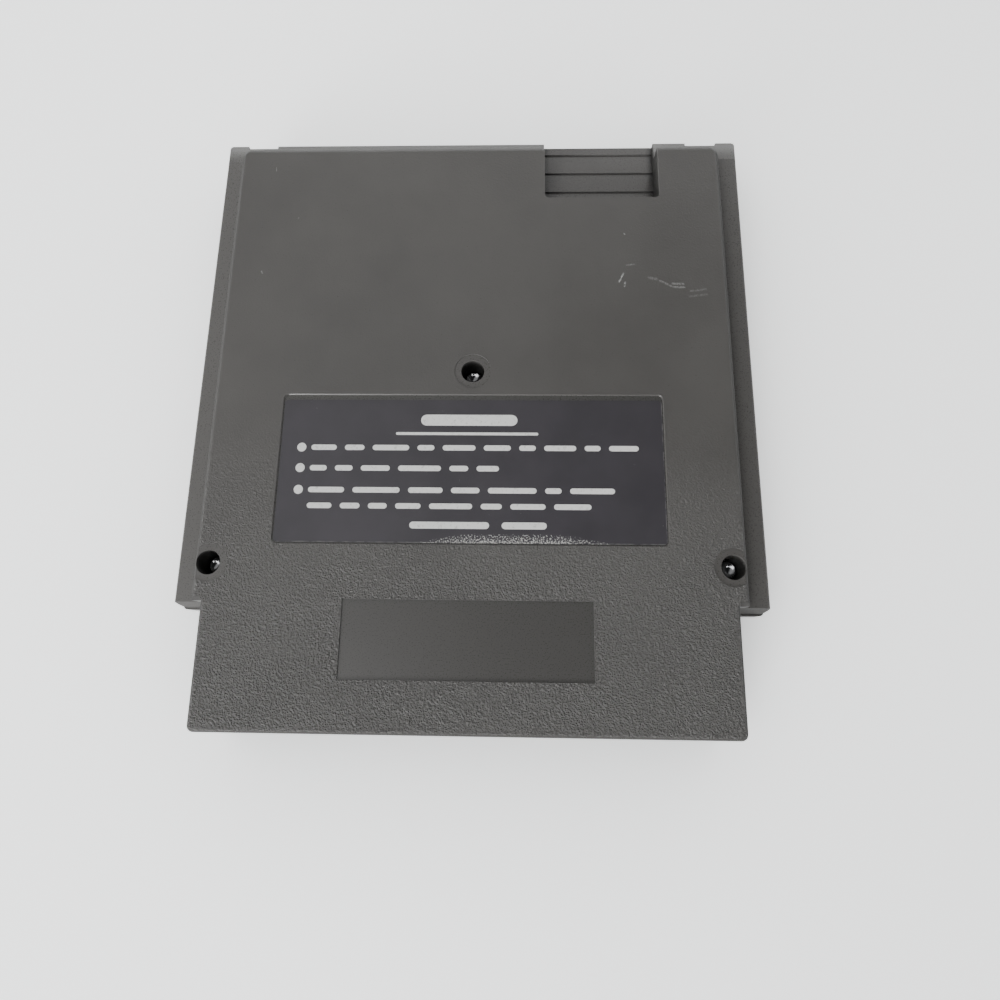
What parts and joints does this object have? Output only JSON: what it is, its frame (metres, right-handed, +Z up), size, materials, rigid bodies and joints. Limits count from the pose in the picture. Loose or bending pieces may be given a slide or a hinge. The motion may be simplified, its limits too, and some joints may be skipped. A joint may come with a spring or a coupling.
{
  "type": "game cartridge",
  "caption": "Flat plastic game cartridge in two moulded shells with side flanges, a narrow open connector end, a ridged finger notch, security screws and a board with edge contacts.",
  "frame": {"origin": "middle of the footprint, on the surface that the cartridge lies on", "axes": "+Z up out of the back face, +Y from the connector end towards the grip end, +X across to the right as the back is read with the grip end away"},
  "size_m": [0.12, 0.1334, 0.0175],
  "materials": {
    "casing": "fine-grained moulded grey plastic",
    "screw": "blackened, glossy",
    "label": "satin printed sticker",
    "board": "green lacquered board",
    "contact": "gold plated",
    "chip": "moulded epoxy",
    "lead": "tinned",
    "can": "bare",
    "sleeve": "shrink sleeve",
    "bung": "matt",
    "ceramic": "dipped"
  },
  "bodies": {
    "root": {"back_shell": "casing", "front_shell": "casing", "case_screws": "screw", "rear_label": "label", "circuit_board": "board", "front_contacts": "contact", "rear_contacts": "contact", "program_chip": "chip", "graphics_chip": "chip", "lockout_chip": "chip", "program_chip_leads": "lead", "graphics_chip_leads": "lead", "lockout_chip_leads": "lead", "bulk_capacitor_leads": "lead", "ceramic_capacitor_leads": "lead", "bulk_capacitor_can": "can", "bulk_capacitor_sleeve": "sleeve", "bulk_capacitor_bung": "bung", "ceramic_capacitors": "ceramic"}
  },
  "joints": []
}
